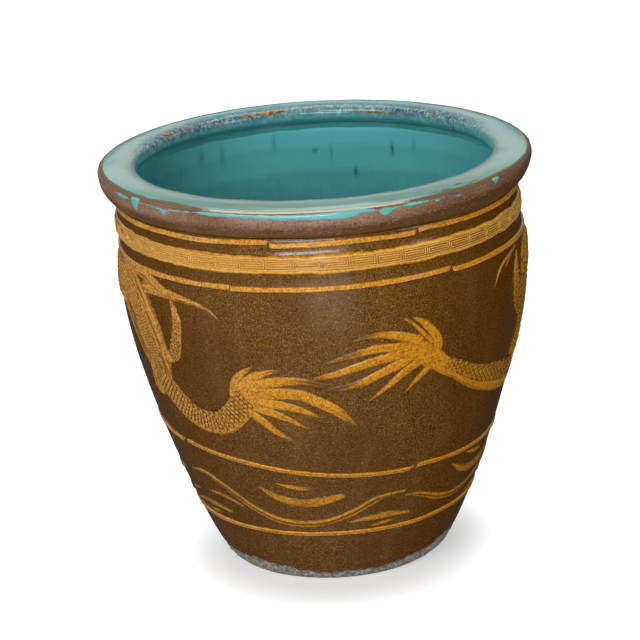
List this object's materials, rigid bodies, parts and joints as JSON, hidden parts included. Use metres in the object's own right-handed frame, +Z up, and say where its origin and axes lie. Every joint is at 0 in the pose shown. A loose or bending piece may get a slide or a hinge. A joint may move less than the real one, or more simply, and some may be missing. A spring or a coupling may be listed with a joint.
{
  "type": "jardiniere",
  "caption": "Large round glazed stoneware plant pot with a rolled rim, applied dragons, fret band and waves, and a glazed inside.",
  "frame": {"origin": "centre of the flat underside of the foot", "axes": "+Z up along the pot's turning axis; the front, where the dragons' hind claws meet, faces -Y"},
  "size_m": [0.478, 0.478, 0.463],
  "materials": {
    "brown_glaze": "glossy speckled brown glaze",
    "ochre_slip": "ochre slip clay under clear glaze",
    "turquoise_glaze": "glossy turquoise glaze",
    "bare_clay": "rough unglazed grey stoneware"
  },
  "bodies": {
    "root": {"base_slab": "bare_clay", "lower_wall": "brown_glaze", "upper_wall": "brown_glaze", "mouth_rim": "brown_glaze", "inner_glaze": "turquoise_glaze", "top_band": "ochre_slip", "fret_band": "ochre_slip", "lower_band": "ochre_slip", "wave_ceiling_line": "ochre_slip", "wave_floor_line": "ochre_slip", "swell_1": "ochre_slip", "ripple_left_1": "ochre_slip", "ripple_crest_1": "ochre_slip", "ripple_upper_1": "ochre_slip", "ripple_right_1": "ochre_slip", "ripple_low_1": "ochre_slip", "swell_2": "ochre_slip", "ripple_left_2": "ochre_slip", "ripple_crest_2": "ochre_slip", "ripple_upper_2": "ochre_slip", "ripple_right_2": "ochre_slip", "ripple_low_2": "ochre_slip", "swell_3": "ochre_slip", "ripple_left_3": "ochre_slip", "ripple_crest_3": "ochre_slip", "ripple_upper_3": "ochre_slip", "ripple_right_3": "ochre_slip", "ripple_low_3": "ochre_slip", "swell_4": "ochre_slip", "ripple_left_4": "ochre_slip", "ripple_crest_4": "ochre_slip", "ripple_upper_4": "ochre_slip", "ripple_right_4": "ochre_slip", "ripple_low_4": "ochre_slip", "swell_5": "ochre_slip", "ripple_left_5": "ochre_slip", "ripple_crest_5": "ochre_slip", "ripple_upper_5": "ochre_slip", "ripple_right_5": "ochre_slip", "ripple_low_5": "ochre_slip", "left_dragon_body": "ochre_slip", "left_dragon_hind_leg": "ochre_slip", "left_dragon_tail": "ochre_slip", "left_dragon_tuft": "ochre_slip", "left_dragon_foreleg": "ochre_slip", "left_dragon_head": "ochre_slip", "left_dragon_horn": "ochre_slip", "left_dragon_mane": "ochre_slip", "left_dragon_whisker": "ochre_slip", "right_dragon_body": "ochre_slip", "right_dragon_hind_leg": "ochre_slip", "right_dragon_tail": "ochre_slip", "right_dragon_tuft": "ochre_slip", "right_dragon_foreleg": "ochre_slip", "right_dragon_head": "ochre_slip", "right_dragon_horn": "ochre_slip", "right_dragon_mane": "ochre_slip", "right_dragon_whisker": "ochre_slip", "pearl": "ochre_slip"}
  },
  "joints": []
}
